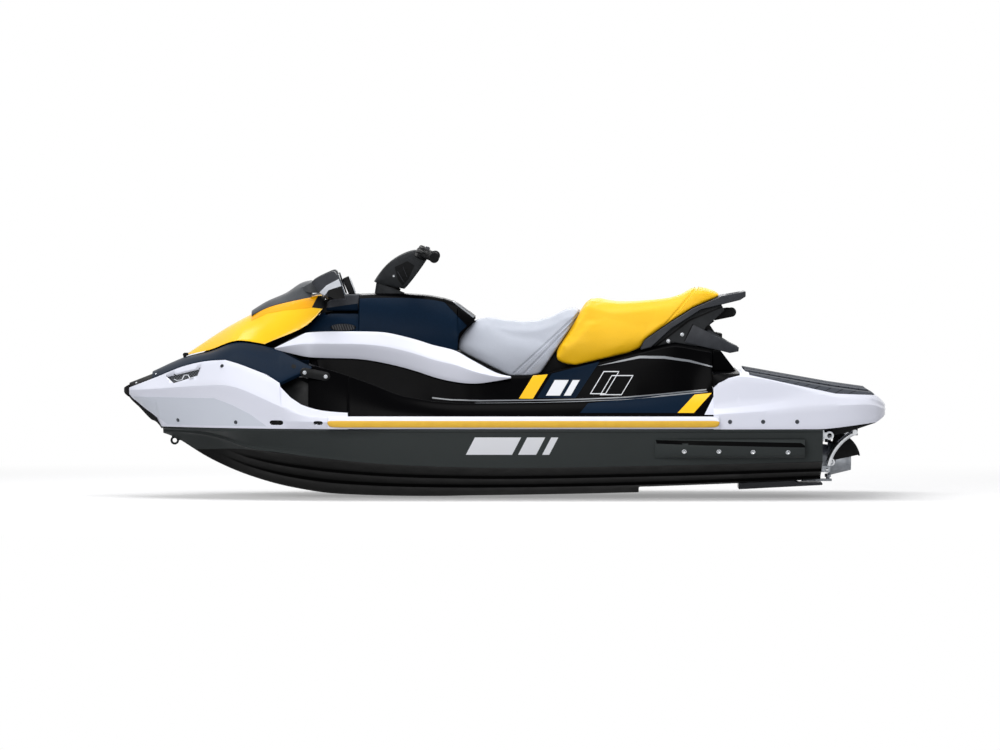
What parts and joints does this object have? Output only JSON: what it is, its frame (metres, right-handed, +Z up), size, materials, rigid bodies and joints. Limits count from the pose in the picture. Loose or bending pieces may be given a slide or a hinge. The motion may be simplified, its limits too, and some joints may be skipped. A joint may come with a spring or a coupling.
{
  "type": "personal watercraft",
  "caption": "Personal watercraft with a V hull, saddle seats, opening front hood, steering handlebar, folding boarding step and a waterjet with a reverse bucket.",
  "frame": {"origin": "amidships on the centre plane, on the waterline with the craft empty and at rest", "axes": "+X to the bow, +Y to port, +Z up"},
  "size_m": [3.1445, 1.18, 1.0233],
  "materials": {
    "graphite_gelcoat": "gloss",
    "black_moulding": "satin",
    "white_gelcoat": "gloss",
    "foam_mat": "matte",
    "yellow_rubber": "satin",
    "black_rubber": "matte",
    "navy_paint": "gloss",
    "grey_moulding": "satin",
    "dark_glass": "gloss",
    "grey_vinyl": "grained",
    "yellow_vinyl": "grained",
    "cast_aluminium": "cast",
    "stainless": "polished",
    "engine_block": "cast",
    "yellow_paint": "gloss",
    "silver_moulding": "gloss",
    "mirror_face": "mirror",
    "black_bar": "satin"
  },
  "bodies": {
    "hull": {"hull_shell": "graphite_gelcoat", "deck": "black_moulding", "storage_bin": "black_moulding", "rear_deck": "white_gelcoat", "pedestal_tail": "black_moulding", "rear_mats": "foam_mat", "footwell_mats": "foam_mat", "rub_rails": "white_gelcoat", "rail_inserts": "yellow_rubber", "nose_bumper": "black_rubber", "bow_fairing_left": "white_gelcoat", "bow_fairing_right": "white_gelcoat", "shoulder_left": "navy_paint", "shoulder_right": "navy_paint", "console": "navy_paint", "dash": "grey_moulding", "display": "dark_glass", "side_panel_left": "white_gelcoat", "side_panel_right": "white_gelcoat", "front_seat": "grey_vinyl", "rear_seat": "yellow_vinyl", "grab_handle": "black_moulding", "seat_base": "black_moulding", "tow_bracket": "grey_moulding", "sponsons": "black_moulding", "ride_plate": "cast_aluminium", "intake_grate": "cast_aluminium", "pump_housing": "cast_aluminium", "step_brackets": "stainless", "stern_eyes": "stainless", "engine": "engine_block", "steering_collar": "black_rubber", "hinge_bracket": "black_moulding"},
    "lid": {"hood": "yellow_paint", "visor": "grey_moulding", "mirror_housings": "silver_moulding", "mirror_glasses": "mirror_face"},
    "bars": {"handlebar": "black_bar", "handlebar_pad": "black_moulding", "grips": "black_rubber"},
    "nozzle": {"steering_nozzle": "cast_aluminium"},
    "bucket": {"reverse_bucket": "black_moulding"},
    "rotor": {"impeller": "stainless", "drive_shaft": "stainless"},
    "step": {"boarding_step": "stainless", "step_tread": "black_rubber"}
  },
  "joints": [
    {"name": "hood_open", "type": "hinge", "parent": "hull", "child": "lid", "pos_m": [1.32, 0, 0.33], "axis": [0, 1, 0], "range_deg": [0, 60]},
    {"name": "handlebar_steer", "type": "hinge", "parent": "hull", "child": "bars", "pos_m": [0.475, 0, 0.585], "axis": [-0.515, 0, 0.8572], "range_deg": [-24, 24]},
    {"name": "nozzle_steer", "type": "hinge", "parent": "hull", "child": "nozzle", "pos_m": [-1.344, 0, -0.098], "axis": [0, 0, 1], "range_deg": [-20, 20]},
    {"name": "bucket_lower", "type": "hinge", "parent": "hull", "child": "bucket", "pos_m": [-1.356, 0, -0.106], "axis": [0, -1, 0], "range_deg": [0, 65]},
    {"name": "impeller_spin", "type": "hinge", "parent": "hull", "child": "rotor", "pos_m": [-1.15, 0, -0.098], "axis": [1, 0, 0], "continuous": true},
    {"name": "step_fold", "type": "hinge", "parent": "hull", "child": "step", "pos_m": [-1.334, 0, -0.14], "axis": [0, -1, 0], "range_deg": [0, 115]}
  ],
  "couplings": [
    {"joint": "nozzle_steer", "follows": "handlebar_steer", "ratio": -0.8}
  ]
}
